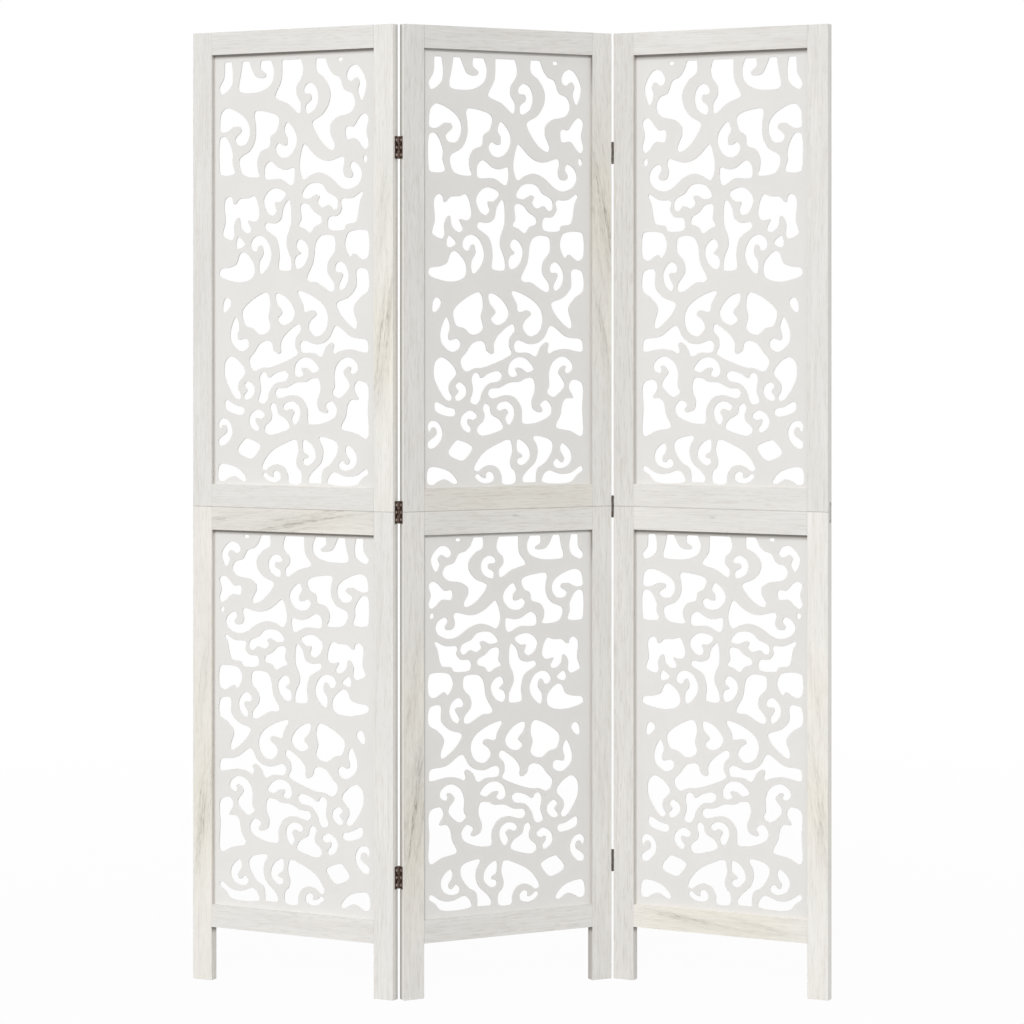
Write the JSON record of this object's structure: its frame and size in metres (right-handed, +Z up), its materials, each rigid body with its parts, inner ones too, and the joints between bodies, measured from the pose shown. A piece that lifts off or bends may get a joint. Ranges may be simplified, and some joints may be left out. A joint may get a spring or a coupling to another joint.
{
  "type": "folding room divider",
  "caption": "Zigzag folding room divider: hinged wooden frames, each half holding a thin board pierced with scrolling arabesque fretwork, standing on stiles run down as legs.",
  "frame": {"origin": "on the floor under the centre of the middle panel, which is the centre of the screen's footprint", "axes": "+Z up, -Y towards the viewer of the picture, +X to that viewer's right"},
  "size_m": [1.0978, 0.1954, 1.65],
  "materials": {
    "frame_wood": "whitewashed, matt, grain showing",
    "fret_board": "smooth white paint, matt",
    "tenon_wood": "bare beech",
    "hinge_metal": "dark bronze"
  },
  "bodies": {
    "left_panel": {"left_upper_left_stile": "frame_wood", "left_upper_right_stile": "frame_wood", "left_upper_bottom_rail": "frame_wood", "left_upper_top_rail": "frame_wood", "left_upper_fret": "fret_board", "left_lower_left_stile": "frame_wood", "left_lower_right_stile": "frame_wood", "left_lower_bottom_rail": "frame_wood", "left_lower_top_rail": "frame_wood", "left_lower_fret": "fret_board", "left_tenons": "tenon_wood", "left_fold_bottom_hinge_moving_leaf": "hinge_metal", "left_fold_middle_hinge_moving_leaf": "hinge_metal", "left_fold_top_hinge_moving_leaf": "hinge_metal"},
    "middle_panel": {"middle_upper_left_stile": "frame_wood", "middle_upper_right_stile": "frame_wood", "middle_upper_bottom_rail": "frame_wood", "middle_upper_top_rail": "frame_wood", "middle_upper_fret": "fret_board", "middle_lower_left_stile": "frame_wood", "middle_lower_right_stile": "frame_wood", "middle_lower_bottom_rail": "frame_wood", "middle_lower_top_rail": "frame_wood", "middle_lower_fret": "fret_board", "middle_tenons": "tenon_wood", "left_fold_bottom_hinge_fixed_leaf": "hinge_metal", "left_fold_bottom_hinge_pin": "hinge_metal", "left_fold_middle_hinge_fixed_leaf": "hinge_metal", "left_fold_middle_hinge_pin": "hinge_metal", "left_fold_top_hinge_fixed_leaf": "hinge_metal", "left_fold_top_hinge_pin": "hinge_metal", "right_fold_bottom_hinge_fixed_leaf": "hinge_metal", "right_fold_bottom_hinge_pin": "hinge_metal", "right_fold_middle_hinge_fixed_leaf": "hinge_metal", "right_fold_middle_hinge_pin": "hinge_metal", "right_fold_top_hinge_fixed_leaf": "hinge_metal", "right_fold_top_hinge_pin": "hinge_metal"},
    "right_panel": {"right_upper_left_stile": "frame_wood", "right_upper_right_stile": "frame_wood", "right_upper_bottom_rail": "frame_wood", "right_upper_top_rail": "frame_wood", "right_upper_fret": "fret_board", "right_lower_left_stile": "frame_wood", "right_lower_right_stile": "frame_wood", "right_lower_bottom_rail": "frame_wood", "right_lower_top_rail": "frame_wood", "right_lower_fret": "fret_board", "right_tenons": "tenon_wood", "right_fold_bottom_hinge_moving_leaf": "hinge_metal", "right_fold_middle_hinge_moving_leaf": "hinge_metal", "right_fold_top_hinge_moving_leaf": "hinge_metal"}
  },
  "joints": [
    {"name": "left_fold", "type": "hinge", "parent": "middle_panel", "child": "left_panel", "pos_m": [-0.18362, -0.08402, 0.825], "axis": [0, 0, 1], "range_deg": [-126, 54]},
    {"name": "right_fold", "type": "hinge", "parent": "middle_panel", "child": "right_panel", "pos_m": [0.18362, 0.08402, 0.825], "axis": [0, 0, 1], "range_deg": [-126, 54]}
  ]
}
